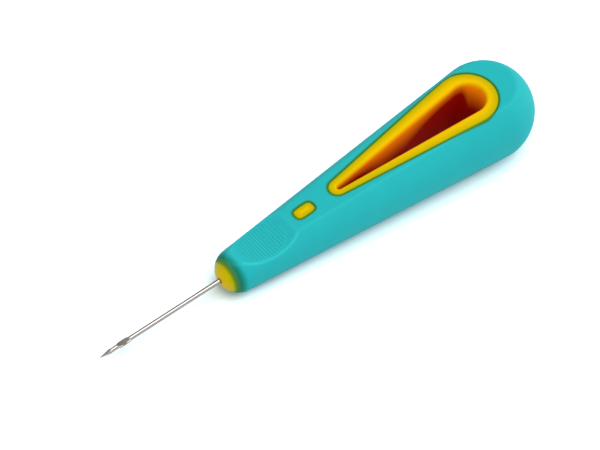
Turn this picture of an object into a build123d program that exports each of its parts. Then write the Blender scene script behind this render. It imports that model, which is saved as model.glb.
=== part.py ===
"""Hand awl: a steel needle in a hard moulded core, with a soft skin moulded over the core.

The awl lies on the lower flat of its handle and points towards -X. Lengths are in millimetres.
A station is a distance along the tool's own axis, from 0 where the needle leaves the nose: the
handle is on the plus side, and the needle's free end on the minus side. The handle is a round
taper with a ball end and two flats on it, so its axis climbs slightly from nose to ball at rest.
"""
import os
from math import asin, atan, atan2, cos, degrees, hypot, sin, sqrt, tan

from build123d import *

# ---------------------------------------------------------------- driving dimensions
# overall
handle_length = 120.0       # nose face to the end of the ball
needle_reach = 44.0         # free length of the needle in front of the nose

# handle: round taper and ball end
ball_radius = 15.95
taper_start = 6.0           # station where the nose rounding ends
taper_start_radius = 6.95
nose_face_radius = 1.6      # small flat face that the needle comes out of

# the two flats, mirrored above and below the axis
flat_height = 5.95          # from the axis to each flat, at station 0
flat_back_height = 12.168   # the same at the ball's centre, so each flat opens towards the ball
flat_edge_round = 0.6       # softens the edge between each flat and the round body

# soft skin over the core
skin = 1.8                  # full thickness of the skin
skin_front = 2.0            # station of the skin's front edge
skin_lip = 0.35             # thickness of that edge
skin_lead = 3.5             # length over which the skin grows to its full thickness

# thumb rest, a scoop across each flat, as a drum lying across the tool would press it
scoop_radius = 24.0
scoop_centre = 15.0         # station of the deepest point
scoop_floor = 4.75          # height of the deepest point above the axis
scoop_backing = 1.3         # thickness of the skin under the scoop

# ribs in the thumb rest, inside an oval patch
rib_pitch = 0.98
rib_width = 0.5
rib_height = 0.22
rib_patch_centre = 16.3     # station
rib_patch_length = 15.6
rib_patch_width = 11.6

# window through the skin in front of the teardrop
window_centre = 32.0        # station
window_length = 6.8
window_width = 4.0
window_corner = 1.6

# teardrop ring of the core, and the hole inside it: two circles joined by tangents make each
ring_tip = 45.1             # station of the small circle's centre
ring_tip_radius = 3.0
ring_back_gap = 8.15        # from the large circle's centre to the ball's centre
ring_back_radius = 9.65
hole_shift = 0.5            # the hole's two circles lie this much nearer to the ball than the ring's
hole_tip_radius = 0.6
hole_back_radius = 5.4
hole_edge_round = 2.2       # rolled edge from each flat into the hole

# needle
wire_diameter = 1.4
neck_diameter = 1.3         # round part between the point and the pressed oval
point_length = 3.8
point_tip_width = 0.1
neck_length = 2.7
oval_length = 4.1
oval_end_width = 1.2        # width of the pressed oval where it runs into the round wire
oval_width = 2.05
oval_rim = 0.8              # thickness of the pressed oval at its ends
oval_waist = 0.55           # thickness at the middle of its hollow
tail_end = 34.0             # station of the wire's end inside the handle
key_centre = 20.0           # station of the pressed flat that keys the wire in the core
key_length = 8.0
key_end_width = 1.2
key_width = 2.6
key_thickness = 0.8

# ---------------------------------------------------------------- worked-out values
ball_centre = handle_length - ball_radius
flat_rise = (flat_back_height - flat_height) / ball_centre
ring_back = ball_centre - ring_back_gap
skin_full = skin_front + skin_lead
beyond = handle_length + ball_radius       # clears the handle on every side
point_base = -needle_reach + point_length
oval_front = point_base + neck_length
oval_centre = oval_front + oval_length / 2

# The tool's own frame leans up by the slope of the flats, so that the lower flat is level and on
# the ground, and is shifted so that the whole awl is centred over the origin.
lean = atan(flat_rise)
tip_x = -needle_reach * cos(lean)
end_x = ball_centre * cos(lean) + ball_radius
nose_x = -(tip_x + end_x) / 2
nose_z = flat_height * cos(lean)
side = Plane(origin=(nose_x, 0, nose_z), x_dir=(cos(lean), 0, sin(lean)), z_dir=(0, -1, 0))
face = Plane(origin=side.origin, x_dir=side.x_dir, z_dir=(-sin(lean), 0, cos(lean)))
axis = Axis(side.origin, side.x_dir)


def flat_at(station):
    """Height of the upper flat above the axis."""
    return flat_height + flat_rise * station


def taper_slope(inset):
    """Angle of the straight taper that touches the ball, with both drawn in by inset."""
    run, rise = ball_centre - taper_start, taper_start_radius - inset
    return asin((ball_radius - inset) / hypot(run, rise)) - atan2(rise, run)


def ball_touch(inset):
    """Station and radius where that taper meets the ball."""
    slope, radius = taper_slope(inset), ball_radius - inset
    return ball_centre - radius * sin(slope), radius * cos(slope)


def taper_at(station, inset=0.0):
    """Radius of the taper at a station."""
    return taper_start_radius - inset + (station - taper_start) * tan(taper_slope(inset))


def nose_radius_at(station):
    """Radius of the rounded nose, an arc from its small face that runs smoothly into the taper."""
    slope = taper_slope(0)
    chord, drop = taper_start, taper_start_radius - nose_face_radius
    rounding = (chord**2 + drop**2) / (2 * (drop * cos(slope) - chord * sin(slope)))
    centre = (taper_start + rounding * sin(slope), taper_start_radius - rounding * cos(slope))
    return centre[1] + sqrt(rounding**2 - (station - centre[0]) ** 2)


def draw_nose():
    """Half outline of the bare nose, in front of the skin's edge."""
    nose_edge, middle = (0, nose_face_radius), skin_front / 2
    skin_edge = (skin_front, nose_radius_at(skin_front))
    with BuildLine() as outline:
        ThreePointArc(nose_edge, (middle, nose_radius_at(middle)), skin_edge)
        Polyline(skin_edge, (skin_front, 0), (0, 0), nose_edge)
    make_face(outline.edges())


def draw_outer_club():
    """Half outline of the skinned handle: the rest of the nose rounding, the taper and the ball."""
    slope = taper_slope(0)
    skin_edge = (skin_front, nose_radius_at(skin_front))
    taper_front = (taper_start, taper_start_radius)
    with BuildLine() as outline:
        Line((skin_front, 0), skin_edge)
        TangentArc(taper_front, skin_edge, tangent=(-cos(slope), -sin(slope)))
        Line(taper_front, ball_touch(0))
        TangentArc(ball_touch(0), (handle_length, 0), tangent=(cos(slope), sin(slope)))
        Line((handle_length, 0), (skin_front, 0))
    make_face(outline.edges())


def draw_planed_off():
    """Side view of what planing the two flats takes off, above and below."""
    with BuildLine() as outline:
        Polyline(
            (-1, flat_at(-1)), (beyond, flat_at(beyond)), (beyond, beyond), (-1, beyond), close=True
        )
    mirror(make_face(outline.edges()), about=Plane.XZ)


def draw_inner_club(front_radius):
    """Half outline of the core under the skin: a step at the skin's front, a lead and the inner taper."""
    slope = taper_slope(skin)
    with BuildLine() as outline:
        Polyline(
            (handle_length - skin, 0),
            (skin_front, 0),
            (skin_front, front_radius - skin_lip),
            (skin_full, taper_at(skin_full, skin)),
            ball_touch(skin),
        )
        TangentArc(ball_touch(skin), (handle_length - skin, 0), tangent=(cos(slope), sin(slope)))
    make_face(outline.edges())


def draw_scoop_drums(radius):
    """Side view of the two drums that press the thumb rests, one above the axis and one below."""
    lift = scoop_floor + scoop_radius
    with Locations((scoop_centre, lift), (scoop_centre, -lift)):
        Circle(radius)


def draw_teardrop(tip, tip_radius, back, back_radius):
    """Two circles on the tool axis joined by their outer tangents."""
    lift = asin((back_radius - tip_radius) / (back - tip))
    back_touch = (back - back_radius * sin(lift), back_radius * cos(lift))
    tip_touch = (tip - tip_radius * sin(lift), tip_radius * cos(lift))
    with BuildLine() as outline:
        ThreePointArc(back_touch, (back + back_radius, 0), (back_touch[0], -back_touch[1]))
        Line((back_touch[0], -back_touch[1]), (tip_touch[0], -tip_touch[1]))
        ThreePointArc((tip_touch[0], -tip_touch[1]), (tip - tip_radius, 0), tip_touch)
        Line(tip_touch, back_touch)
    make_face(outline.edges())


# ---------------------------------------------------------------- shared blanks
# The handle from the skin's front edge to the ball, before it is shared between core and skin.
with BuildPart() as club:
    with BuildSketch(side):
        draw_outer_club()
    revolve(axis=axis)
    with BuildSketch(side):
        draw_planed_off()
    extrude(amount=beyond, both=True, mode=Mode.SUBTRACT)
    flats = club.faces().filter_by(GeomType.PLANE).sort_by(SortBy.AREA)[-2:]
    fillet(flats.edges(), flat_edge_round)

# The core's body under the skin.
with BuildPart() as covered_core:
    with BuildSketch(side):
        draw_inner_club(nose_radius_at(skin_front))
    revolve(axis=axis)
    with BuildSketch(side):
        with BuildLine():
            Polyline(
                (skin_front, flat_at(skin_front) - skin_lip),
                (skin_full, flat_at(skin_full) - skin),
                (beyond, flat_at(beyond) - skin),
                (beyond, beyond),
                (skin_front, beyond),
                close=True,
            )
        make_face()
        mirror(about=Plane.XZ)
    extrude(amount=beyond, both=True, mode=Mode.SUBTRACT)
    # room for the skin under the thumb rests
    with BuildSketch(side):
        draw_scoop_drums(scoop_radius + scoop_backing)
    extrude(amount=beyond, both=True, mode=Mode.SUBTRACT)

# The core's bosses that come through the skin, cut off flush with the flats.
with BuildPart() as bosses:
    with BuildSketch(face):
        draw_teardrop(ring_tip, ring_tip_radius, ring_back, ring_back_radius)
        with Locations((window_centre, 0)):
            RectangleRounded(window_length, window_width, window_corner)
    extrude(amount=beyond, both=True)
    add(club.part, mode=Mode.INTERSECT)

# ---------------------------------------------------------------- needle
def draw_pressed(centre, length, end_width, width):
    """Outline of a pressed stretch of wire from above: it swells from end_width to width and back."""
    front, back = centre - length / 2, centre + length / 2
    with BuildLine() as outline:
        ThreePointArc((front, end_width / 2), (centre, width / 2), (back, end_width / 2))
        Line((back, end_width / 2), (back, -end_width / 2))
        ThreePointArc((back, -end_width / 2), (centre, -width / 2), (front, -end_width / 2))
        Line((front, -end_width / 2), (front, end_width / 2))
    make_face(outline.edges())


# The hollow in the pressed oval, as two drums leave it, thinner in the middle than at the ends.
with BuildPart() as oval:
    with BuildSketch(face):
        draw_pressed(oval_centre, oval_length, oval_end_width, oval_width)
    extrude(amount=oval_rim / 2, both=True)
    sag = (oval_rim - oval_waist) / 2
    press_radius = ((oval_length / 2) ** 2 + sag**2) / (2 * sag)
    press_lift = oval_waist / 2 + press_radius
    with BuildSketch(side):
        with Locations((oval_centre, press_lift), (oval_centre, -press_lift)):
            Circle(press_radius)
    extrude(amount=oval_width, both=True, mode=Mode.SUBTRACT)

# One wire: ground point, round neck, pressed oval, plain shank and a keyed tail.
with BuildPart() as needle:
    with BuildSketch(side):
        with BuildLine():
            Polyline(
                (-needle_reach, 0),
                (-needle_reach, neck_diameter / 2),
                (oval_centre, neck_diameter / 2),
                (oval_centre, wire_diameter / 2),
                (tail_end, wire_diameter / 2),
                (tail_end, 0),
                close=True,
            )
        make_face()
    revolve(axis=axis)
    # the four facets of the point, ground from above, below and both sides
    for ground_from in (side, face):
        with BuildSketch(ground_from):
            with BuildLine():
                Polyline(
                    (-needle_reach, point_tip_width / 2),
                    (point_base, neck_diameter / 2),
                    (point_base, wire_diameter),
                    (-needle_reach - 1, wire_diameter),
                    (-needle_reach - 1, point_tip_width / 2),
                    close=True,
                )
            make_face()
            mirror(about=Plane.XZ)
        extrude(amount=wire_diameter, both=True, mode=Mode.SUBTRACT)
    # the oval and the key, each pressed out of the round wire
    with BuildSketch(side):
        with Locations((oval_centre, 0)):
            Rectangle(oval_length, 2 * wire_diameter)
        with Locations((key_centre, 0)):
            Rectangle(key_length, 2 * wire_diameter)
    extrude(amount=wire_diameter, both=True, mode=Mode.SUBTRACT)
    add(oval.part)
    with BuildSketch(face):
        draw_pressed(key_centre, key_length, key_end_width, key_width)
    extrude(amount=key_thickness / 2, both=True)
needle.part.label = "needle"

# ---------------------------------------------------------------- handle core
# Hard moulding: nose, body under the skin, windows and the teardrop ring, moulded round the needle.
with BuildPart() as handle_core:
    with BuildSketch(side):
        draw_nose()
    revolve(axis=axis)
    with BuildSketch(side):
        draw_planed_off()
    extrude(amount=beyond, both=True, mode=Mode.SUBTRACT)
    add(covered_core.part)
    add(bosses.part)
    with BuildSketch(face):
        draw_teardrop(ring_tip + hole_shift, hole_tip_radius, ring_back + hole_shift, hole_back_radius)
    extrude(amount=beyond, both=True, mode=Mode.SUBTRACT)
    # roll the ring's inner edge into the hole, above and below
    level = handle_core.faces().filter_by(GeomType.PLANE)
    pierced = level.filter_by(lambda flat: len(flat.inner_wires()) == 1)
    ring_flats = pierced.sort_by(SortBy.AREA)[-2:]
    fillet([edge for flat in ring_flats for edge in flat.inner_wires()[0].edges()], hole_edge_round)
    add(needle.part, mode=Mode.SUBTRACT)
handle_core.part.label = "handle_core"

# ---------------------------------------------------------------- soft grip
# Ribs across both thumb rests, set out along the scoop and trimmed to an oval patch.
rib_count = int(rib_patch_length / rib_pitch)
rib_root = scoop_backing / 3               # how far each rib runs down into the skin
rib_step = degrees(rib_pitch / scoop_radius)
rib_middle = degrees(asin((rib_patch_centre - scoop_centre) / scoop_radius)) - 90
with BuildPart() as ribs:
    with BuildSketch(side):
        with Locations((scoop_centre, scoop_floor + scoop_radius)):
            with PolarLocations(
                radius=scoop_radius + (rib_root - rib_height) / 2,
                count=rib_count,
                start_angle=rib_middle - rib_step * (rib_count - 1) / 2,
                angular_range=rib_step * (rib_count - 1),
                endpoint=True,
            ):
                Rectangle(rib_height + rib_root, rib_width)
        mirror(about=Plane.XZ)
    extrude(amount=rib_patch_width, both=True)
    with BuildSketch(face):
        with Locations((rib_patch_centre, 0)):
            Ellipse(rib_patch_length / 2, rib_patch_width / 2)
    extrude(amount=beyond, both=True, mode=Mode.INTERSECT)
    add(club.part, mode=Mode.INTERSECT)

# Soft skin: the handle's blank less the core and its bosses, with the thumb rests pressed in.
with BuildPart() as soft_grip:
    add(club.part)
    add(covered_core.part, mode=Mode.SUBTRACT)
    add(bosses.part, mode=Mode.SUBTRACT)
    with BuildSketch(side):
        draw_scoop_drums(scoop_radius)
    extrude(amount=beyond, both=True, mode=Mode.SUBTRACT)
    add(ribs.part)
soft_grip.part.label = "soft_grip"

os.makedirs("parts", exist_ok=True)
for piece in (needle, handle_core, soft_grip):
    export_step(piece.part, f"parts/{piece.part.label}.step")
    box = piece.part.bounding_box()
    print(f"{piece.part.label}: {piece.part.volume:.0f} mm3, {len(piece.part.solids())} solid(s), "
          f"x {box.min.X:.2f}..{box.max.X:.2f}, z {box.min.Z:.2f}..{box.max.Z:.2f}")
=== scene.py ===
# %% [markdown]
# # A hand awl: moulded handle and steel needle
#
# The awl has three pieces: a needle of hard steel wire, a core of hard yellow plastic moulded round
# it, and a soft blue-green skin moulded over the core. Its CAD model already holds the sizes. Here
# each piece is drawn again as a fine surface, with the rounded edges, ribs and grooves that the
# moulds and the grinding wheel leave, and gets a material made of nodes.
#
# Everything is in metres in the frame of the CAD model, so nothing has to be fitted afterwards.

# %% Load the frame and keep the CAD box
import math

import bmesh
import bpy
import numpy as np
from mathutils import Matrix, Vector


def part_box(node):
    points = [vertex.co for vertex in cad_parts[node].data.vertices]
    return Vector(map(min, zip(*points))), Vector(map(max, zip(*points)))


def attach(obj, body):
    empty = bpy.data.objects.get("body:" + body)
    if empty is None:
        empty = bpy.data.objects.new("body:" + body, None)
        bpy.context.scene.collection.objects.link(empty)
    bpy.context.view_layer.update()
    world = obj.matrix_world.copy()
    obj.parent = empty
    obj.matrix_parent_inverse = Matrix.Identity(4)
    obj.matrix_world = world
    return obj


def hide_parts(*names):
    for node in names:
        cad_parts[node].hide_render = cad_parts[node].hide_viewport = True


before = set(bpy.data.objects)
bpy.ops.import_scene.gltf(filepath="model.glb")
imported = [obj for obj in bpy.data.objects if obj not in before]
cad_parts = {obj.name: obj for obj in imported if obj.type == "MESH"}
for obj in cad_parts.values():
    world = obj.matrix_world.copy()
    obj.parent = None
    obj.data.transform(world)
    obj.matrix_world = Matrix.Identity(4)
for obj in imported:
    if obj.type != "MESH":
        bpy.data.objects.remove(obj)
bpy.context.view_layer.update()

# %% [markdown]
# ## The camera
#
# The camera stands well back with a long lens, which keeps the taper of the handle true. It looks
# down at about fifty degrees from the needle's side and is rolled a little, so that the tool runs
# from lower left to upper right.

# %% Place the camera
camera = bpy.data.objects.new("camera", bpy.data.cameras.new("camera"))
bpy.context.collection.objects.link(camera)
camera_place = (-0.332639, -0.359708, 0.578504)
right = Vector((0.774241, -0.631427, 0.043022))
up = Vector((0.459841, 0.607950, 0.647259))
back = Vector((-0.434853, -0.481350, 0.761055))
turn_to_view = Matrix((right, up, back)).transposed().to_4x4()
camera.matrix_world = Matrix.Translation(camera_place) @ turn_to_view
camera.data.lens = 150
camera.data.sensor_width = 36
bpy.context.scene.camera = camera
print("camera distance, mm:", round(1000 * camera.location.length))

# %% [markdown]
# ## The tool's own directions
#
# The handle tapers, so a tool lying on its lower flat has its axis tipped up by the slope of that
# flat. It is far easier to think along the axis: a *station* is a distance along it from the nose
# face, *across* is sideways and *height* is square to both. One function turns these three into the
# frame's x, y and z, and another turns them back.

# %% Tool directions, found from the CAD box of the needle
mm = 0.001
handle_length = 120.0 * mm
ball_radius = 15.95 * mm
ball_centre = handle_length - ball_radius
needle_reach = 44.0 * mm
flat_height = 5.95 * mm  # from the axis to a flat, at the nose face
flat_back_height = 12.168 * mm  # the same at the ball's centre
lean = math.atan((flat_back_height - flat_height) / ball_centre)
needle_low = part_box("needle")[0]
along = np.array((math.cos(lean), 0, math.sin(lean)))
upward = np.array((-math.sin(lean), 0, math.cos(lean)))
nose = np.array((needle_low[0] + needle_reach * along[0], 0, flat_height * math.cos(lean)))


def placed(station, across, height):
    """The nose face, plus the station along the axis, across sideways and height square to both."""
    station, across, height = np.broadcast_arrays(station, across, height)
    return (
        nose
        + station[..., None] * along
        + across[..., None] * (0, 1, 0)
        + height[..., None] * upward
    )


def in_tool(points):
    """The reverse of placed: how far each point is along the axis, sideways and square to both."""
    offset = points - nose
    return offset @ along, offset[..., 1], offset @ upward


print("nose face, mm:", np.round(nose / mm, 2), " lean, degrees:", round(math.degrees(lean), 2))

# %% [markdown]
# ## The handle's outer form
#
# The handle is turned in the mind on a lathe: a rounded nose, a straight taper and a ball end. Two
# flats are then planed on it, and a drum pressed across each flat leaves the thumb rest. Where two
# of these forms meet, the mould has a soft edge, which a smooth minimum of the two heights gives.

# %% Sizes of the handle, as the CAD model has them, and of its soft edges
snug = 0.02 * mm  # the fine surfaces stay this much inside the CAD model
taper_start = 6.0 * mm
taper_start_radius = 6.95 * mm
nose_face_radius = 1.6 * mm
skin_front = 2.0 * mm
scoop_radius = 24.0 * mm
scoop_centre = 15.0 * mm
scoop_floor = 4.75 * mm
crease_blend = 0.45 * mm  # a flat's edge is soft where two heights differ by less than this
scoop_blend = 0.6 * mm  # the same for the rim of the thumb rest

run, rise = ball_centre - taper_start, taper_start_radius
taper_slope = math.asin(ball_radius / math.hypot(run, rise)) - math.atan2(rise, run)
touch = ball_centre - ball_radius * math.sin(taper_slope)
nose_drop = taper_start_radius - nose_face_radius
nose_rounding = (taper_start**2 + nose_drop**2) / (
    2 * (nose_drop * math.cos(taper_slope) - taper_start * math.sin(taper_slope))
)
print("taper, degrees:", round(math.degrees(taper_slope), 2))
print("nose rounding, mm:", round(nose_rounding / mm, 2))


def turned_radius(station):
    """Radius of the turned form: the nose's arc, then a straight taper, then the ball's circle."""
    station = np.asarray(station, float)
    arc_middle = taper_start + nose_rounding * math.sin(taper_slope)
    arc_low = taper_start_radius - nose_rounding * math.cos(taper_slope)
    nose_arc = arc_low + np.sqrt(np.maximum(nose_rounding**2 - (station - arc_middle) ** 2, 0))
    taper = taper_start_radius + (station - taper_start) * math.tan(taper_slope)
    ball = np.sqrt(np.maximum(ball_radius**2 - (station - ball_centre) ** 2, 0))
    return np.where(station < taper_start, nose_arc, np.where(station < touch, taper, ball))


def flat_at(station):
    """Height of a flat: it climbs from the nose by the slope of the lean."""
    return flat_height + math.tan(lean) * station


def soft_min(a, b, reach):
    """The lower of a and b, less a little: a quarter of reach where equal, none a reach apart."""
    nearness = np.maximum(1 - np.abs(a - b) / reach, 0)
    return np.minimum(a, b) - nearness**2 * reach / 4


def scoop_at(station):
    """Height of the pressing drum's underside: the drum's middle less the rest of its circle."""
    spare = np.maximum(scoop_radius**2 - (station - scoop_centre) ** 2, 0)
    return scoop_floor + scoop_radius - np.sqrt(spare)


# %% [markdown]
# ## The openings in the skin
#
# The core shows through the skin in two places: a small window, and a long teardrop. A surface that
# is only a grid can't have holes, so the grid is split along the middle line of the tool. Its inner
# edge follows the middle line where the skin is whole, and swings out round each opening. The grid
# is then exactly as crisp at the openings as the mould is, with no cutting afterwards. The large
# ends of the ring and of its hole are drawn a little larger than in the CAD model.

# %% Outlines of the teardrop and the window
ring_tip, ring_tip_radius = 45.1 * mm, 3.0 * mm
ring_back, ring_back_radius = 95.9 * mm, 10.05 * mm
hole_tip, hole_tip_radius = 45.6 * mm, 0.6 * mm
hole_back, hole_back_radius = 96.6 * mm, 5.65 * mm
window_centre, window_length, window_width = 32.0 * mm, 6.8 * mm, 4.0 * mm
window_power = 3.4  # a power of 2 is an oval, and a high one is nearly a rectangle


def teardrop_lift(tip, tip_radius, back, back_radius):
    """Angle of the straight sides: the arc sine of the difference in radius over the distance."""
    return math.asin((back_radius - tip_radius) / (back - tip))


ring = (ring_tip, ring_tip_radius, ring_back, ring_back_radius)
hole = (hole_tip, hole_tip_radius, hole_back, hole_back_radius)
ring_lift = teardrop_lift(*ring)
ring_front_touch = ring_tip - ring_tip_radius * math.sin(ring_lift)
ring_back_touch = ring_back - ring_back_radius * math.sin(ring_lift)
print("slope of the ring's sides, degrees:", round(math.degrees(ring_lift), 2))


def ring_half_width(station):
    """Half the teardrop's width: by the small circle, the straight side or the large circle."""
    small = np.sqrt(np.maximum(ring_tip_radius**2 - (station - ring_tip) ** 2, 0))
    large = np.sqrt(np.maximum(ring_back_radius**2 - (station - ring_back) ** 2, 0))
    side_start = ring_tip_radius * math.cos(ring_lift)
    side = side_start + (station - ring_front_touch) * math.tan(ring_lift)
    behind_tip = np.where(station < ring_back_touch, side, large)
    return np.where(station < ring_front_touch, small, behind_tip)


def window_half_width(station):
    """Half the window's width, from the sum of the powers of both distances being one."""
    share = np.clip(np.abs(station - window_centre) / (window_length / 2), 0, 1)
    return window_width / 2 * (1 - share**window_power) ** (1 / window_power)


def from_ring(station, across):
    """Distance outside the teardrop: to its small circle, its straight side or its large circle."""
    across, run = np.abs(across), station - ring_tip
    sine, cosine = math.sin(ring_lift), math.cos(ring_lift)
    reach = (ring_back - ring_tip) * cosine
    place = run * cosine + across * sine
    small = np.hypot(run, across) - ring_tip_radius
    large = np.hypot(station - ring_back, across) - ring_back_radius
    side = across * cosine - run * sine - ring_tip_radius
    return np.where(place < 0, small, np.where(place > reach, large, side))


def from_window(station, across):
    """Distance outside the window, near enough: its power sum less one, over that sum's slope."""
    p, a, b = window_power, window_length / 2, window_width / 2
    x, y = np.abs(station - window_centre) / a, np.abs(across) / b
    size = np.maximum((x**p + y**p) ** (1 / p), 1e-6)
    slope = np.hypot((x / size) ** (p - 1) / a, (y / size) ** (p - 1) / b)
    return (size - 1) / np.maximum(slope, 1e-6)


# %% [markdown]
# ## The soft skin
#
# The skin is one surface over two directions. Down the tool it has a row for each station, close
# together at the ribs and at the round ends of the openings. Over the tool it has a column for each
# share of the way from the inner edge to the widest line. Ribs are a wave along the thumb rest, let
# in only inside an oval, and the edge of each opening rolls down into a narrow groove.

# %% Rows of the skin
rib_pitch = 0.98 * mm
rib_height = 0.22 * mm
rib_swing = 0.62  # over a half, the wave's tops and valleys are cut off flat
rib_patch_centre, rib_patch_length, rib_patch_width = 16.3 * mm, 15.6 * mm, 11.6 * mm
rib_fade = 0.06  # share of the oval's reach over which the ribs come in
rib_margin = 0.3 * mm  # rows are drawn close together this far past the ribs
edge_roll = 0.5 * mm  # width of the rolled edge beside an opening
groove_depth = 0.35 * mm
near_opening = 1.3 * mm  # rows are drawn close together this far from an opening
ring_front, ring_end = ring_tip - ring_tip_radius, ring_back + ring_back_radius
window_front = window_centre - window_length / 2
window_end = window_centre + window_length / 2


def even(start, end, step):
    """Stations from start up to but not at end, a step apart or a little less."""
    return np.linspace(start, end, math.ceil((end - start) / step), endpoint=False)


def closing(start, end, count):
    """Stations from start that close up on end: the square of an even share is left to go."""
    return end - (end - start) * np.linspace(1, 0, count, endpoint=False) ** 2


def opening_up(start, end, count):
    """Stations that start close together and open up: the square of an even share is done."""
    return start + (end - start) * np.linspace(0, 1, count, endpoint=False) ** 2


def swing(centre, reach, first, last, count):
    """Stations of points evenly turned about a centre: its place plus reach times the sine."""
    return centre + reach * np.sin(np.linspace(first, last, count, endpoint=False))


quarter = math.pi / 2
window_turn = np.linspace(-quarter, quarter, 44, endpoint=False)
window_reach = window_length / 2 * np.abs(np.sin(window_turn)) ** (2 / window_power)
rib_front = rib_patch_centre - rib_patch_length / 2 - rib_margin
rib_end = rib_patch_centre + rib_patch_length / 2 + rib_margin
ball_row = ring_end + near_opening
ball_turn = math.asin((ball_row - ball_centre) / ball_radius)
# each line is the next stretch of the tool, with the step between its rows or their number
stations = np.concatenate([
    even(skin_front, rib_front, 0.2 * mm),
    even(rib_front, rib_end, rib_pitch / 8),
    even(rib_end, window_front - near_opening, 0.3 * mm),
    closing(window_front - near_opening, window_front, 9),
    window_centre + np.sign(window_turn) * window_reach,
    opening_up(window_end, window_end + near_opening, 9),
    even(window_end + near_opening, ring_front - near_opening, 0.35 * mm),
    closing(ring_front - near_opening, ring_front, 9),
    swing(ring_tip, ring_tip_radius, -quarter, -ring_lift, 16),
    even(ring_front_touch, ring_back_touch, 0.6 * mm),
    swing(ring_back, ring_back_radius, -ring_lift, quarter, 30),
    opening_up(ring_end, ball_row, 9),
    swing(ball_centre, ball_radius, ball_turn, quarter, 36),
    [handle_length - snug],
])
fine_share = 0.09  # columns are close together over this share, beside the inner edge
shares = np.concatenate([np.linspace(0, fine_share, 8), np.linspace(fine_share, 1, 37)[1:]])
print("skin rows:", len(stations), " columns in a quarter:", len(shares))


# %% Heights of the skin
crease_highlight, flat_rim_highlight, rib_highlight = 0.35, 0.4, 0.6  # strength of the painted highlight on each edge, beside a whole one
print("ribs along the patch, at most:", int(rib_patch_length / rib_pitch))


def ribs_at(station, across):
    """A wave along the drum's arc, one to each pitch, cut flat on top and let in inside an oval."""
    lean_in = np.arcsin(np.clip((station - scoop_centre) / scoop_radius, -1, 1))
    middle = math.asin((rib_patch_centre - scoop_centre) / scoop_radius)
    phase = (lean_in - middle) * scoop_radius / rib_pitch
    wave = np.clip(0.5 + rib_swing * np.cos(2 * math.pi * phase), 0, 1)
    oval = np.hypot(
        (station - rib_patch_centre) / (rib_patch_length / 2), across / (rib_patch_width / 2)
    )
    let_in = np.clip((1 - oval) / rib_fade, 0, 1)
    return rib_height * wave * let_in**2 * (3 - 2 * let_in)


def rolled(distance, roll, depth):
    """Drop of a rolled edge, along a quarter oval: depth at the edge, and none at roll from it."""
    return depth * (1 - np.sqrt(np.maximum(1 - (1 - np.clip(distance / roll, 0, 1)) ** 2, 0)))


def highlight_share(station, across):
    """Share of painted highlight on an edge: wholly on the thumb rest's rim at the round side, less
    where the rim meets the flat and on a flat's crease, and not at all where heights differ by a
    blend."""
    round_height = np.sqrt(np.maximum((turned_radius(station) - snug) ** 2 - across**2, 0))
    flat, scoop = flat_at(station), scoop_at(station)
    crease = crease_highlight * (1 - np.abs(round_height - flat) / crease_blend)
    rim = 1 - np.abs(np.minimum(round_height, flat) - scoop) / scoop_blend
    rim = np.where(round_height < flat, rim, flat_rim_highlight * rim)
    past_rim = (round_height > scoop) & (flat > scoop + scoop_blend)
    return np.clip(np.maximum(np.where(past_rim, 0, crease), rim), 0, 1)


def skin_height(station, across, round_height):
    """Soft minimum of turned form, flat and drum, plus the ribs, less the rolled edges."""
    height = soft_min(round_height, flat_at(station), crease_blend)
    height = soft_min(height, scoop_at(station), scoop_blend) + ribs_at(station, across)
    for distance in (from_ring(station, across), from_window(station, across)):
        height = height - rolled(distance, edge_roll, groove_depth)
    return height


# %% Helpers that turn grids into a closed mesh
same_place = 0.0005 * mm  # vertices this near are merged
no_length = 0.0001 * mm  # edges this short are taken out
print("vertices are merged within, mm:", round(same_place / mm, 4))


def grid_faces(numbers):
    """Quads between neighbouring rows and columns of a grid of vertex numbers."""
    return np.stack(
        [numbers[:-1, :-1], numbers[1:, :-1], numbers[1:, 1:], numbers[:-1, 1:]], axis=-1
    ).reshape(-1, 4)


def make_piece(name, points, faces, sharp_degrees):
    """Mesh of quads, doubled vertices merged and faces turned outwards, on the awl's body."""
    mesh = bpy.data.meshes.new(name)
    mesh.from_pydata(points.reshape(-1, 3).tolist(), [], faces.tolist())
    work = bmesh.new()
    work.from_mesh(mesh)
    bmesh.ops.remove_doubles(work, verts=work.verts, dist=same_place)
    bmesh.ops.dissolve_degenerate(work, edges=work.edges, dist=no_length)
    bmesh.ops.recalc_face_normals(work, faces=work.faces)
    open_edges = sum(not edge.is_manifold for edge in work.edges)
    work.to_mesh(mesh)
    work.free()
    mesh.shade_smooth()
    mesh.set_sharp_from_angle(angle=math.radians(sharp_degrees))
    piece = bpy.data.objects.new(name, mesh)
    bpy.context.collection.objects.link(piece)
    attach(piece, "root")
    triangles = sum(len(face.vertices) - 2 for face in mesh.polygons)
    print(f"{name}: {triangles} triangles, {open_edges} open edges")
    return piece


def add_measure(piece, name, values):
    """One number for each vertex, in millimetres, which a material can read."""
    piece.data.attributes.new(name, "FLOAT", "POINT").data.foreach_set("value", values / mm)


def vertex_places(piece):
    """The mesh's vertices as one array of rows of x, y and z."""
    places = np.empty(3 * len(piece.data.vertices))
    piece.data.vertices.foreach_get("co", places)
    return places.reshape(-1, 3)


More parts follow.
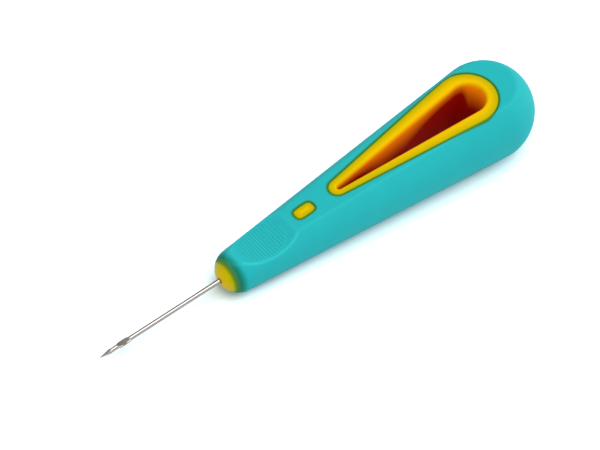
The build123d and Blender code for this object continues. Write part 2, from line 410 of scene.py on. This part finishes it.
# %% Build the skin
lip_roll, lip_depth = 0.5 * mm, 0.12 * mm  # the skin's front edge, rolled down to the nose
front_point = skin_front + 1.0 * mm  # one point inside the nose closes the skin's front
inner_edge = np.maximum(
    np.where((stations > ring_front) & (stations < ring_end), ring_half_width(stations), 0),
    np.where((stations > window_front) & (stations < window_end), window_half_width(stations), 0),
)
radius = np.maximum(turned_radius(stations) - snug, 0)
radius[-1] = 0
first_angle = np.arcsin(np.clip(inner_edge / np.maximum(radius, 1e-9), 0, 1))
angle = first_angle[:, None] + (quarter - first_angle)[:, None] * shares
across = radius[:, None] * np.sin(angle)
lip = rolled(stations - skin_front, lip_roll, lip_depth)[:, None]
height = skin_height(stations[:, None], across, radius[:, None] * np.cos(angle))
height = np.where(angle < quarter - 1e-9, height - lip * np.cos(angle), 0)
across = across - lip * np.sin(angle)
rows = np.concatenate([[front_point], stations])
across = np.concatenate([np.zeros((1, len(shares))), across])
height = np.concatenate([np.zeros((1, len(shares))), height])

quarters, skin_faces = [], []
numbers = np.arange(across.size).reshape(across.shape)
for number, (sideways, topways) in enumerate(((1, 1), (-1, 1), (-1, -1), (1, -1))):
    quarters.append(placed(rows[:, None], sideways * across, topways * height))
    skin_faces.append(grid_faces(numbers + number * across.size))
# walls down through the openings join the upper inner edge to the lower one
in_opening = np.concatenate([[False], inner_edge > 0])
wall_rows = np.flatnonzero(in_opening[:-1] | in_opening[1:])
for upper, lower in ((0, 3), (1, 2)):
    skin_faces.append(np.stack([
        numbers[wall_rows, 0] + upper * across.size,
        numbers[wall_rows + 1, 0] + upper * across.size,
        numbers[wall_rows + 1, 0] + lower * across.size,
        numbers[wall_rows, 0] + lower * across.size,
    ], axis=-1))
skin_points, skin_faces = np.stack(quarters), np.concatenate(skin_faces)
soft_skin = make_piece("soft_skin", skin_points, skin_faces, sharp_degrees=50)
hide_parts("soft_grip")

# measures for the material; the painted highlight is a share and no length, so it goes in times a
# millimetre
skin_station, skin_across, _ = in_tool(vertex_places(soft_skin))
nearest = np.minimum(from_ring(skin_station, skin_across), from_window(skin_station, skin_across))
add_measure(soft_skin, "from_opening", nearest)
add_measure(soft_skin, "station", skin_station)
on_ribs = rib_highlight * ribs_at(skin_station, skin_across) / rib_height
add_measure(soft_skin, "edge", np.maximum(highlight_share(skin_station, skin_across), on_ribs) * mm)

# %% [markdown]
# ## The hard core
#
# Most of the core is under the skin, so only what shows is drawn: the nose, the small window and
# the teardrop ring with the long hole through it. The ring is a profile carried round the teardrop.
# Both outlines are walked in step, arc for arc and side for side, and the profile is stretched
# between them: up the wall of the hole, over the rolled edge, and down into the groove.

# %% The teardrop ring
hole_roll = 1.0 * mm  # how far the rolled edge reaches over the flat
hole_drop = 1.5 * mm  # how far down the wall it ends
ring_edge = 0.4 * mm  # width of the rolled edge beside the skin
large_count, side_count, small_count = 80, 90, 40  # points on each part of a teardrop


def walk_teardrop(tip, tip_radius, back, back_radius):
    """Points round a teardrop: large arc, straight side, small arc, straight side."""
    lift = teardrop_lift(tip, tip_radius, back, back_radius)
    large = np.linspace(-quarter - lift, quarter + lift, large_count)
    small = np.linspace(quarter + lift, 2 * math.pi - quarter - lift, small_count)
    large_arc = np.stack([back + back_radius * np.cos(large), back_radius * np.sin(large)], -1)
    small_arc = np.stack([tip + tip_radius * np.cos(small), tip_radius * np.sin(small)], -1)
    share = np.linspace(0, 1, side_count)[1:-1, None]
    one_side = large_arc[-1] + (small_arc[0] - large_arc[-1]) * share
    other_side = small_arc[-1] + (large_arc[0] - small_arc[-1]) * share
    return np.concatenate([large_arc, one_side, small_arc, other_side])


outer_line, inner_line = walk_teardrop(*ring), walk_teardrop(*hole)
ring_width = np.linalg.norm(outer_line - inner_line, axis=1)[:, None]
roll_turn = np.linspace(0, quarter, 14)
edge_turn = np.linspace(0, quarter, 7)
roll_places = hole_roll * (1 - np.cos(roll_turn))
edge_places = ring_edge * np.sin(edge_turn)
inner_part = np.broadcast_to(roll_places, (len(outer_line), len(roll_places)))
outer_part = ring_width - ring_edge + edge_places
place = np.concatenate([inner_part, outer_part], axis=1)
spot = inner_line[:, None] + (outer_line - inner_line)[:, None] * (place / ring_width)[..., None]
round_height = np.sqrt((turned_radius(spot[..., 0]) - snug) ** 2 - spot[..., 1] ** 2)
top = soft_min(round_height, flat_at(spot[..., 0]), crease_blend)
top = top - rolled(place, hole_roll, hole_drop)
top = top - rolled(ring_width - place, ring_edge, groove_depth)
wall_share = np.linspace(-1, 1, 26)[1:-1]
wall_station = np.broadcast_to(spot[:, :1, 0], (len(spot), len(wall_share)))
wall_across = np.broadcast_to(spot[:, :1, 1], wall_station.shape)
ring_station = np.concatenate([spot[..., 0], spot[:, ::-1, 0], wall_station], axis=1)
ring_across = np.concatenate([spot[..., 1], spot[:, ::-1, 1], wall_across], axis=1)
ring_height = np.concatenate([top, -top[:, ::-1], wall_share * top[:, :1]], axis=1)
ring_points = placed(ring_station, ring_across, ring_height)
print("ring: points round it:", len(ring_points), " points in its profile:", len(ring_points[0]))


def closed_grid_faces(row_count, column_count, first=0):
    """Quads of a grid whose last row meets its first and whose last column meets its first."""
    numbers = first + np.arange(row_count * column_count).reshape(row_count, column_count)
    numbers = np.concatenate([numbers, numbers[:1]])
    return grid_faces(np.concatenate([numbers, numbers[:, :1]], axis=1))


# %% The window
window_rim = 0.35 * mm  # width of its rolled edge
window_sink = 0.06 * mm  # the window lies this much below the flat
window_border = 0.2  # share of the way out over which its rings are close together
turn = np.linspace(0, 2 * math.pi, 96, endpoint=False)


def power(value, exponent):
    """A power that keeps the sign of its value."""
    return np.sign(value) * np.abs(value) ** exponent


reach = np.concatenate([
    np.linspace(0, 1 - window_border, 6)[:-1],
    1 - window_border * np.cos(np.linspace(0, quarter, 10)),
])[:, None]
lengthways, crossways = (power(wave(turn), 2 / window_power) for wave in (np.cos, np.sin))
window_station = window_centre + reach * window_length / 2 * lengthways
window_across = reach * window_width / 2 * crossways
window_top = flat_at(window_station) - window_sink - rolled(
    -from_window(window_station, window_across), window_rim, groove_depth
)
window_points = np.concatenate([
    placed(window_station, window_across, window_top),
    placed(window_station[::-1], window_across[::-1], -window_top[::-1]),
])
print("window: rings:", len(reach), " points round each:", len(turn))

# %% The nose, and the whole core as one piece
wire_radius = 0.7 * mm
wire_gap = 0.01 * mm
nose_overlap = 1.3  # the nose's outline runs on under the skin to this many times the skin's front
nose_crowding = 1.6  # a power over 1 crowds its points towards the nose face
nose_inset = 0.03 * mm  # the nose lies this much under the turned form
nose_edge_roll, nose_edge_drop = 0.35 * mm, 0.45 * mm
hidden_station, hidden_radius = 7.0 * mm, 4.2 * mm  # its end, out of sight under the skin
nose_stations = skin_front * nose_overlap * np.linspace(0, 1, 24) ** nose_crowding
nose_radii = turned_radius(nose_stations) - snug - nose_inset
nose_radii = nose_radii - rolled(nose_stations, nose_edge_roll, nose_edge_drop)
funnel = [  # a small rounded mouth where the wire comes out
    [0.12 * mm, wire_radius + wire_gap],
    [0.03 * mm, wire_radius + 0.12 * mm],
    [0, wire_radius + 0.3 * mm],
]
hidden_end = [[hidden_station, hidden_radius], [hidden_station, wire_radius + wire_gap]]
nose_profile = np.concatenate([funnel, np.stack([nose_stations, nose_radii], -1), hidden_end])
nose_points = placed(
    nose_profile[:, :1], nose_profile[:, 1:] * np.cos(turn), nose_profile[:, 1:] * np.sin(turn)
)

ring_count, window_count = ring_points[..., 0].size, window_points[..., 0].size
core_points = np.concatenate([
    ring_points.reshape(-1, 3), window_points.reshape(-1, 3), nose_points.reshape(-1, 3)
])
window_numbers = ring_count + np.arange(window_count).reshape(window_points.shape[:2])
core_faces = np.concatenate([
    closed_grid_faces(*ring_points.shape[:2]),
    grid_faces(np.concatenate([window_numbers, window_numbers[:, :1]], axis=1)),
    closed_grid_faces(*nose_points.shape[:2], first=ring_count + window_count),
])
hard_core = make_piece("hard_core", core_points, core_faces, sharp_degrees=60)
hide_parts("handle_core")

core_station, core_across, core_height = in_tool(vertex_places(hard_core))
add_measure(hard_core, "station", core_station)
inside_ring = (from_ring(core_station, core_across) < 0) & (core_station > ring_front)
add_measure(hard_core, "depth", np.where(inside_ring, flat_at(core_station) - core_height, 0))
# the skin's thin edge tints the nose, the ring and the window, and a painted shade darkens the
# ring's band next to the skin, so the way in from each is kept
inwards = np.maximum(-from_ring(core_station, core_across), -from_window(core_station, core_across))
on_nose = core_station < hidden_station + 1.0 * mm
add_measure(hard_core, "to_edge", np.where(on_nose, skin_front - core_station, inwards))

# %% [markdown]
# ## The needle
#
# The needle is one length of wire. Its tip is ground to four facets, a short round neck is left
# behind them, and a press has squeezed the next stretch into a thin oval. Its section is worked
# out round the wire: the round wire, cut down by the facets or by the press, and swollen sideways.

# %% Build the needle
neck_radius = 0.65 * mm
point_length, point_tip = 3.8 * mm, 0.05 * mm
point_half_width = 0.58 * mm  # half the width over two facets, where the grinding stopped
point_shoulder = 0.35 * mm  # length over which the ground point steps down to the neck
shoulder_swell = 0.06 * mm  # the step starts this much outside the wire
oval_middle, oval_length = -35.45 * mm, 4.1 * mm
oval_half_width = 1.025 * mm
oval_waist, oval_rim = 0.275 * mm, 0.4 * mm  # half its thickness, in the middle and at its ends
oval_run_out = 0.1 * mm  # its sides meet the wire this far past its ends
oval_power = 4  # a power of 2 is a round bulge, and a high one has square shoulders
press_slope = 1.6  # how steeply the press's jaws open past the oval
press_blend = 0.08 * mm
tail_end = 34.0 * mm
tip_station = -needle_reach + snug
point_base = tip_station + point_length
oval_front, oval_back = oval_middle - oval_length / 2, oval_middle + oval_length / 2
# the next stretch on each line, with the step between its rings: fine where the form changes
needle_stations = np.concatenate([
    even(tip_station, point_base, 0.1 * mm),
    even(point_base, oval_front - 0.4 * mm, 0.15 * mm),
    even(oval_front - 0.4 * mm, oval_back + 0.5 * mm, 0.05 * mm),
    even(oval_back + 0.5 * mm, 0, 1.0 * mm),
    even(0, tail_end, 2.0 * mm),
    [tail_end],
])[:, None]
round_turn = np.linspace(0, 2 * math.pi, 64, endpoint=False)
sideways, upways = np.abs(np.cos(round_turn)), np.abs(np.sin(round_turn))
from_middle = np.abs(needle_stations - oval_middle)
behind_point = np.clip((needle_stations - point_base) / point_shoulder, 0, 1)
step = wire_radius + shoulder_swell - neck_radius
front_radius = neck_radius + step * (1 - behind_point) ** 2
base_radius = np.where(needle_stations < oval_middle, front_radius, wire_radius)
swell = np.clip(1 - (from_middle / (oval_length / 2 + oval_run_out)) ** oval_power, 0, 1)
half_width = base_radius + (oval_half_width - base_radius) * swell
section = 1 / np.sqrt((sideways / half_width) ** 2 + (upways / base_radius) ** 2)
press = oval_waist + (oval_rim - oval_waist) * (from_middle / (oval_length / 2)) ** 2
press = press + np.maximum(from_middle - oval_length / 2, 0) * press_slope
section = soft_min(section, press / np.maximum(upways, 1e-6), press_blend)
ground = point_tip + (point_half_width - point_tip) * (needle_stations - tip_station) / point_length
ground = np.where(needle_stations < point_base, ground, np.inf)
section = np.minimum(section, ground / np.maximum(sideways, upways))
needle_points = placed(needle_stations, section * np.cos(round_turn), section * np.sin(round_turn))
ends = placed(np.array([[tip_station], [tail_end]]), 0 * round_turn, 0 * round_turn)
needle_points = np.concatenate([ends[:1], needle_points, ends[1:]])
needle_numbers = np.arange(needle_points[..., 0].size).reshape(needle_points.shape[:2])
needle_faces = grid_faces(np.concatenate([needle_numbers, needle_numbers[:, :1]], axis=1))
steel_needle = make_piece("steel_needle", needle_points, needle_faces, sharp_degrees=28)
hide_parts("needle")


# %% [markdown]
# ## Materials
#
# One function turns the colour that a paint shop would name, as six hex figures, into the linear
# light that a shader works in, and one more adds a node with its settings and its links.

# %% Colour and node helpers
def linear(colour):
    """Each of red, green and blue: its share of 255, undone by the sRGB curve."""
    shares = [int(colour[i:i + 2], 16) / 255 for i in (1, 3, 5)]
    return [s / 12.92 if s <= 0.04045 else ((s + 0.055) / 1.055) ** 2.4 for s in shares] + [1]


def add_node(material, kind, inputs=None, **settings):
    """Add one node with its settings. An input is a value, or another node's output."""
    node = material.node_tree.nodes.new(kind)
    for name, value in settings.items():
        setattr(node, name, value)
    for socket, value in (inputs or {}).items():
        if isinstance(value, bpy.types.NodeSocket):
            material.node_tree.links.new(value, node.inputs[socket])
        else:
            node.inputs[socket].default_value = value
    return node


def new_material(name, piece):
    """An empty node material on the piece, with its shader."""
    material = bpy.data.materials.new(name)
    material.use_nodes = True
    piece.data.materials.append(material)
    return material, material.node_tree.nodes["Principled BSDF"]


print("linear light of half grey:", round(linear("#808080")[0], 4))


# %% [markdown]
# ### Soft thermoplastic rubber, moulded in a finely etched mould
#
# The etched mould gives the skin a fine even grain that kills the gloss. At its front it thins out
# over the yellow core, which shines through: yellow-green, then a dark blue-green that is partly
# painted shade of the nose turning from the light. The green shows again in a hair's breadth round
# each opening. The soft edges, the rim of the thumb rest and the ribs carry a paler painted
# highlight.

# %% Skin material
rubber, shader = new_material("soft_rubber_etched_mould", soft_skin)
grain_size = 0.35 * mm  # real grain is about 0.05 mm, drawn coarser so that it shows
cloud_size = 9 * mm  # slow drift of the tone
place = add_node(rubber, "ShaderNodeTexCoord").outputs["Object"]
grain = add_node(rubber, "ShaderNodeTexNoise", {
    "Vector": place, "Scale": 1 / grain_size, "Detail": 2.0,
})
cloud = add_node(rubber, "ShaderNodeTexNoise", {
    "Vector": place, "Scale": 1 / cloud_size, "Detail": 3.0,
})
station = add_node(rubber, "ShaderNodeAttribute", attribute_name="station").outputs["Fac"]
gap = add_node(rubber, "ShaderNodeAttribute", attribute_name="from_opening").outputs["Fac"]
tone = add_node(rubber, "ShaderNodeMix", {
    0: cloud.outputs["Fac"], 6: linear("#1E9296"), 7: linear("#22989A"),
}, data_type="RGBA")
# the station wanders by up to 0.8 mm, so that the two changes of colour at the front are not rings
wander = add_node(rubber, "ShaderNodeMath", {
    0: cloud.outputs["Fac"], 1: 0.8, 2: station,
}, operation="MULTIPLY_ADD")
# the dark blue-green collar from 3.6 to 6.4 mm is partly the core showing through the thin skin,
# partly painted shade of the nose turning from the light
thin_and_shaded = add_node(rubber, "ShaderNodeMapRange", {
    "Value": wander.outputs[0], "From Min": 3.6, "From Max": 6.4,
}, interpolation_type="SMOOTHSTEP")
shaded_collar = add_node(rubber, "ShaderNodeMix", {
    0: thin_and_shaded.outputs[0], 6: linear("#0E624A"), 7: tone.outputs[2],
}, data_type="RGBA")
green = add_node(rubber, "ShaderNodeMapRange", {
    "Value": wander.outputs[0], "From Min": 2.4, "From Max": 4.0,
}, interpolation_type="SMOOTHSTEP")
front = add_node(rubber, "ShaderNodeMix", {
    0: green.outputs[0], 6: linear("#4A6A1C"), 7: shaded_collar.outputs[2],
}, data_type="RGBA")
# beside an opening: green up to 0.3 mm from its edge, and the skin's own tone from 0.9 mm
beside = add_node(rubber, "ShaderNodeMapRange", {
    "Value": gap, "From Min": 0.3, "From Max": 0.9,
}, interpolation_type="SMOOTHSTEP")
skin_colour = add_node(rubber, "ShaderNodeMix", {
    0: beside.outputs[0], 6: linear("#2E6A2C"), 7: front.outputs[2],
}, data_type="RGBA")
# painted highlight: the soft edges, the rim of the thumb rest and the ribs are lightened towards a
# paler blue-green
edge = add_node(rubber, "ShaderNodeAttribute", attribute_name="edge").outputs["Fac"]
painted_highlight = add_node(rubber, "ShaderNodeMapRange", {"Value": edge, "From Max": 1.6, "To Max": 0.35})
highlighted_colour = add_node(rubber, "ShaderNodeMix", {
    0: painted_highlight.outputs[0], 6: skin_colour.outputs[2], 7: linear("#46C4C4"),
}, data_type="RGBA")
bump = add_node(rubber, "ShaderNodeBump", {
    "Height": grain.outputs["Fac"], "Distance": 0.02 * mm, "Strength": 0.5,
})
rubber.node_tree.links.new(highlighted_colour.outputs[2], shader.inputs["Base Color"])
rubber.node_tree.links.new(bump.outputs[0], shader.inputs["Normal"])
shader.inputs["Roughness"].default_value = 0.7
shader.inputs["IOR"].default_value = 1.5
shader.inputs["Specular IOR Level"].default_value = 0.15
shader.inputs["Specular Tint"].default_value = linear("#50F4FF")
print(rubber.name, "nodes:", len(rubber.node_tree.nodes))

# %% [markdown]
# ### Polypropylene, moulded smooth
#
# The core is a hard plastic that light enters a little way. The wall of the hole is painted from
# yellow to orange and then to a deep red: painted shade for light that has gone from wall to wall
# and lost more of its green than of its red. The painted shade comes sooner where the hole is
# narrow and where its large end is in shade, and painted light holds it back at the very end, which
# the light strikes.

# %% Core material
plastic, shader = new_material("polypropylene_moulded", hard_core)
cloud_size = 6 * mm  # slow drift of the tone
grain_size = 0.5 * mm  # a polished mould leaves a finer one, drawn coarser so that it shows
place = add_node(plastic, "ShaderNodeTexCoord").outputs["Object"]
cloud = add_node(plastic, "ShaderNodeTexNoise", {
    "Vector": place, "Scale": 1 / cloud_size, "Detail": 3.0,
})
grain = add_node(plastic, "ShaderNodeTexNoise", {
    "Vector": place, "Scale": 1 / grain_size, "Detail": 2.0,
})
depth = add_node(plastic, "ShaderNodeAttribute", attribute_name="depth").outputs["Fac"]
to_edge = add_node(plastic, "ShaderNodeAttribute", attribute_name="to_edge").outputs["Fac"]
# greener and darker within 3 mm of the skin, by a distance that wanders by up to 0.8 mm: partly the
# skin's tint, partly painted shade of the ring's crowned band
warmth = add_node(plastic, "ShaderNodeMath", {
    0: cloud.outputs["Fac"], 1: 0.8, 2: to_edge,
}, operation="MULTIPLY_ADD")
warm = add_node(plastic, "ShaderNodeMapRange", {
    "Value": warmth.outputs[0], "From Min": 0.5, "From Max": 3.0,
})
tone = add_node(plastic, "ShaderNodeMix", {
    0: warm.outputs[0], 6: linear("#949000"), 7: linear("#C69E00"),
}, data_type="RGBA")
# painted shade: the way that light has gone is the depth, times a number that changes along the
# hole
station = add_node(plastic, "ShaderNodeAttribute", attribute_name="station").outputs["Fac"]
# painted shade comes sooner towards the shaded large end and where the hole is narrow; painted
# light holds it back at the very end
painted_shade_large_end = add_node(plastic, "ShaderNodeMapRange", {
    "Value": station, "From Min": 74.0, "From Max": 93.0, "To Min": 1.0, "To Max": 2.1,
}, interpolation_type="SMOOTHSTEP")
painted_light_at_end = add_node(plastic, "ShaderNodeMapRange", {
    "Value": station, "From Min": 98.6, "From Max": 101.0, "To Max": 1.3,
}, interpolation_type="SMOOTHSTEP")
narrow = add_node(plastic, "ShaderNodeMapRange", {
    "Value": station, "From Min": 48.0, "From Max": 66.0, "To Min": 1.6, "To Max": 0.0,
}, interpolation_type="SMOOTHSTEP")
darker = add_node(plastic, "ShaderNodeMath", {0: painted_shade_large_end.outputs[0], 1: narrow.outputs[0]})
later = add_node(plastic, "ShaderNodeMath", {
    0: darker.outputs[0], 1: painted_light_at_end.outputs[0],
}, operation="SUBTRACT")
painted_shade_way = add_node(plastic, "ShaderNodeMath", {0: depth, 1: later.outputs[0]}, operation="MULTIPLY")
# painted shade down the hole's wall: orange with depth, then deep red along the way above
painted_orange_shade = add_node(plastic, "ShaderNodeMapRange", {
    "Value": depth, "From Min": 0.15, "From Max": 1.8,
}, interpolation_type="SMOOTHSTEP")
upper = add_node(plastic, "ShaderNodeMix", {
    0: painted_orange_shade.outputs[0], 6: tone.outputs[2], 7: linear("#FF8C00"),
}, data_type="RGBA")
red = add_node(plastic, "ShaderNodeMapRange", {
    "Value": painted_shade_way.outputs[0], "From Min": 1.4, "From Max": 9.5,
})
wall_painted_shade = add_node(plastic, "ShaderNodeMix", {
    0: red.outputs[0], 6: upper.outputs[2], 7: linear("#A00000"),
}, data_type="RGBA")
# an olive line where the skin's thin edge meets the core, gone within about half a millimetre
olive = add_node(plastic, "ShaderNodeMapRange", {
    "Value": to_edge, "From Min": -0.15, "From Max": 0.55,
}, interpolation_type="SMOOTHSTEP")
rimmed = add_node(plastic, "ShaderNodeMix", {
    0: olive.outputs[0], 6: linear("#5C760E"), 7: wall_painted_shade.outputs[2],
}, data_type="RGBA")
dull = add_node(plastic, "ShaderNodeMapRange", {
    "Value": depth, "From Min": 1.0, "From Max": 4.0, "To Min": 0.38, "To Max": 0.7,
})
bump = add_node(plastic, "ShaderNodeBump", {
    "Height": grain.outputs["Fac"], "Distance": 0.01 * mm, "Strength": 0.4,
})
plastic.node_tree.links.new(rimmed.outputs[2], shader.inputs["Base Color"])
plastic.node_tree.links.new(bump.outputs[0], shader.inputs["Normal"])
plastic.node_tree.links.new(dull.outputs[0], shader.inputs["Roughness"])
shader.inputs["IOR"].default_value = 1.49
shader.inputs["Specular IOR Level"].default_value = 0.12
shader.inputs["Specular Tint"].default_value = linear("#FFD828")
print(plastic.name, "nodes:", len(plastic.node_tree.nodes))

# %% [markdown]
# ### Carbon steel wire, drawn, pressed and ground
#
# Drawn wire has fine scratches along it, which stretch the highlights. The noise is therefore
# squeezed along the wire's length. A metal mirrors what stands round it. A near-black tint at its
# edges paints a dark reflection: the thin dark outline that the wire has in a white tent.

# %% Needle material
steel, shader = new_material("carbon_steel_drawn_wire", steel_needle)
scratch_width = 0.12 * mm  # real scratches are finer, drawn coarser so that they show
scratch_stretch = (0.08, 1, 1)  # along the wire, the noise is a dozen times as long as wide
place = add_node(steel, "ShaderNodeTexCoord").outputs["Object"]
turned = add_node(steel, "ShaderNodeMapping", {
    "Vector": place, "Rotation": (0, lean, 0), "Scale": scratch_stretch,
})
scratch = add_node(steel, "ShaderNodeTexNoise", {
    "Vector": turned.outputs[0], "Scale": 1 / scratch_width, "Detail": 3.0,
})
shine = add_node(steel, "ShaderNodeMapRange", {
    "Value": scratch.outputs["Fac"], "To Min": 0.06, "To Max": 0.2,
})
tint = add_node(steel, "ShaderNodeMix", {
    0: scratch.outputs["Fac"], 6: linear("#968C88"), 7: linear("#ADA39E"),
}, data_type="RGBA")
bump = add_node(steel, "ShaderNodeBump", {
    "Height": scratch.outputs["Fac"], "Distance": 0.01 * mm, "Strength": 0.3,
})
steel.node_tree.links.new(tint.outputs[2], shader.inputs["Base Color"])
steel.node_tree.links.new(shine.outputs[0], shader.inputs["Roughness"])
steel.node_tree.links.new(bump.outputs[0], shader.inputs["Normal"])
shader.inputs["Metallic"].default_value = 1.0
# painted dark reflection: a near-black tint darkens the wire's grazing edges
shader.inputs["Specular Tint"].default_value = linear("#0C0A0A")
print(steel.name, "nodes:", len(steel.node_tree.nodes))

# %% [markdown]
# ## Floor and light
#
# The tool lies on a white sheet under a white tent. The tent's glow is bright on one side and dim
# on the other, which shades the round of the handle. Three soft boxes add to it: a large one
# overhead, one before the needle's point and one beyond the ball end. The sheet's faint blue shows
# only in the shadow, since the rest of it is washed out to white.

# %% Floor
floor_mesh = bpy.data.meshes.new("floor")
floor_size = 3.0
corners = [(x * floor_size, y * floor_size, 0) for x, y in ((-1, -1), (1, -1), (1, 1), (-1, 1))]
floor_mesh.from_pydata(corners, [], [(0, 1, 2, 3)])
floor = bpy.data.objects.new("floor", floor_mesh)
bpy.context.collection.objects.link(floor)
shader = new_material("white_paper", floor)[1]
shader.inputs["Base Color"].default_value = linear("#E8F5F9")
shader.inputs["Roughness"].default_value = 0.9
shader.inputs["Specular IOR Level"].default_value = 0.1
print("floor, metres across:", 2 * floor_size)

# %% Light
bright_side = (0.1, -0.75, 0.65)  # the way to the tent's brightest part
world = bpy.data.worlds.new("white_tent")
bpy.context.scene.world = world
world.use_nodes = True
look = add_node(world, "ShaderNodeTexCoord").outputs["Generated"]
facing = add_node(world, "ShaderNodeVectorMath", {
    0: look, 1: bright_side,
}, operation="DOT_PRODUCT")
glow = add_node(world, "ShaderNodeMapRange", {
    "Value": facing.outputs["Value"],
    "From Min": -0.25, "From Max": 0.5, "To Min": 0.1, "To Max": 0.86,
})
backdrop = world.node_tree.nodes["Background"].inputs
backdrop["Color"].default_value = (1, 1, 1, 1)
# the tent itself is seen as plain white, whatever it sheds on the tool
path = add_node(world, "ShaderNodeLightPath")
seen = add_node(world, "ShaderNodeMix", {
    0: path.outputs["Is Camera Ray"], 2: glow.outputs[0], 3: 1.0,
})
world.node_tree.links.new(seen.outputs[0], backdrop["Strength"])


def add_lamp(name, place, size, watts):
    """A square lamp at a place, turned to face the tool."""
    lamp = bpy.data.objects.new(name, bpy.data.lights.new(name, "AREA"))
    lamp.data.size = size
    lamp.data.energy = watts
    lamp.location = place
    lamp.rotation_mode = "QUATERNION"
    lamp.rotation_quaternion = (-Vector(place)).to_track_quat("-Z", "Y")
    bpy.context.collection.objects.link(lamp)
    print(f"{name}: {size} m across, {watts} W")


add_lamp("overhead_softbox", (0.25, -0.1, 1.15), 1.2, 14)
add_lamp("front_softbox", (-0.9, 0.1, 0.35), 0.8, 4)
add_lamp("side_softbox", (1.0, -0.25, 0.35), 0.6, 4.6)
bpy.context.scene.view_settings.view_transform = "Standard"
